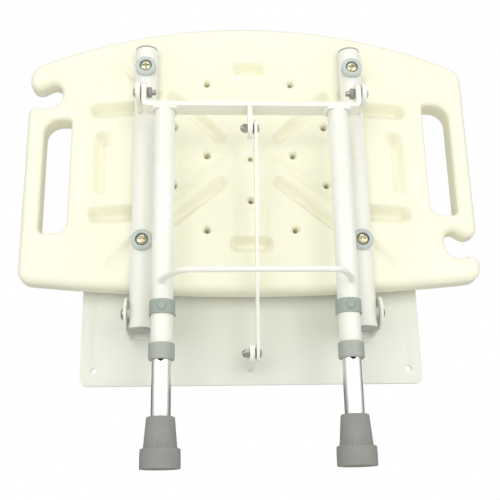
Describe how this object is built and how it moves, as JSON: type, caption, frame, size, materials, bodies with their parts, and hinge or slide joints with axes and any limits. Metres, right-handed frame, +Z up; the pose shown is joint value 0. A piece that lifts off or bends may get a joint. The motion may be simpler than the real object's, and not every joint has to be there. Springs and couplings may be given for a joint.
{
  "type": "wall-mounted folding shower seat",
  "caption": "Wall-mounted shower seat: a hollow moulded board swings down from a wall plate on two tubes, while a linked, height-adjustable leg frame stays upright under it.",
  "frame": {"origin": "middle of the wall plate's back face, on the wall", "axes": "+Y into the wall and -Y out into the room, +Z up, +X to the right for someone facing the wall"},
  "size_m": [0.5, 0.1393, 0.5083],
  "materials": {
    "cream_plastic": "satin",
    "plate_paint": "satin",
    "white_paint": "satin",
    "grey_plastic": "satin",
    "clip_plastic": "satin",
    "nylon": "satin",
    "grey_rubber": "matte",
    "bright_aluminium": "polished",
    "zinc_steel": "satin",
    "brass": "satin"
  },
  "bodies": {
    "wall": {"wall_plate": "plate_paint", "pivot_bracket_left": "white_paint", "pivot_bracket_right": "white_paint", "link_bracket": "white_paint", "wall_pivot_bolt_left": "zinc_steel", "wall_pivot_bolt_right": "zinc_steel", "wall_pivot_nut_left": "zinc_steel", "wall_pivot_nut_right": "zinc_steel", "link_bolt_lower": "zinc_steel", "link_washer_lower": "grey_plastic", "link_nut_lower": "zinc_steel"},
    "seat": {"seat_board": "cream_plastic", "blow_hole_plug": "brass", "seat_tube_left": "white_paint", "seat_tube_right": "white_paint", "tube_plug_lower_left": "grey_plastic", "tube_plug_lower_right": "grey_plastic", "tube_plug_upper_left": "grey_plastic", "tube_plug_upper_right": "grey_plastic", "pivot_bush_inner_left": "nylon", "pivot_bush_inner_right": "nylon", "pivot_bush_outer_left": "nylon", "pivot_bush_outer_right": "nylon", "pivot_tab_left": "white_paint", "pivot_tab_right": "white_paint", "cup_washer_lower_left": "grey_plastic", "cup_washer_lower_right": "grey_plastic", "cup_washer_upper_left": "grey_plastic", "cup_washer_upper_right": "grey_plastic", "seat_screw_lower_left": "brass", "seat_screw_lower_right": "brass", "seat_screw_upper_left": "brass", "seat_screw_upper_right": "brass"},
    "leg_frame": {"crossbar": "white_paint", "link_tab": "white_paint", "leg_tube_left": "white_paint", "leg_tube_right": "white_paint", "handle": "white_paint", "leg_bush_left": "grey_plastic", "leg_bush_right": "grey_plastic", "leg_pivot_bolt_left": "zinc_steel", "leg_pivot_bolt_right": "zinc_steel", "leg_pivot_washer_left": "nylon", "leg_pivot_washer_right": "nylon", "leg_pivot_nut_left": "zinc_steel", "leg_pivot_nut_right": "zinc_steel", "link_bolt_upper": "zinc_steel", "link_washer_upper": "grey_plastic", "link_nut_upper": "zinc_steel"},
    "link": {"link_bar": "white_paint"},
    "left_extension": {"leg_extension_left": "bright_aluminium", "rubber_tip_left": "grey_rubber", "tip_washer_left": "zinc_steel"},
    "right_extension": {"leg_extension_right": "bright_aluminium", "rubber_tip_right": "grey_rubber", "tip_washer_right": "zinc_steel"},
    "left_height_clip": {"height_clip_left": "clip_plastic"},
    "right_height_clip": {"height_clip_right": "clip_plastic"}
  },
  "joints": [
    {"name": "seat_fold", "type": "hinge", "parent": "wall", "child": "seat", "pos_m": [0, -0.0455, 0], "axis": [1, 0, 0], "range_deg": [0, 90]},
    {"name": "leg_fold", "type": "hinge", "parent": "seat", "child": "leg_frame", "pos_m": [0, -0.0885, 0.2345], "axis": [1, 0, 0], "range_deg": [-90, 0]},
    {"name": "link_fold", "type": "hinge", "parent": "wall", "child": "link", "pos_m": [0.003, -0.0455, -0.042], "axis": [1, 0, 0], "range_deg": [0, 90]},
    {"name": "left_leg_slide", "type": "slide", "parent": "leg_frame", "child": "left_extension", "axis": [0, 0, -1], "range_m": [-0.0508, 0.1016]},
    {"name": "right_leg_slide", "type": "slide", "parent": "leg_frame", "child": "right_extension", "axis": [0, 0, -1], "range_m": [-0.0508, 0.1016]},
    {"name": "left_clip_pull", "type": "slide", "parent": "leg_frame", "child": "left_height_clip", "axis": [0, -1, 0], "range_m": [0, 0.014]},
    {"name": "right_clip_pull", "type": "slide", "parent": "leg_frame", "child": "right_height_clip", "axis": [0, -1, 0], "range_m": [0, 0.014]}
  ],
  "couplings": [
    {"joint": "leg_fold", "follows": "seat_fold", "ratio": -1},
    {"joint": "link_fold", "follows": "seat_fold", "ratio": 1}
  ]
}
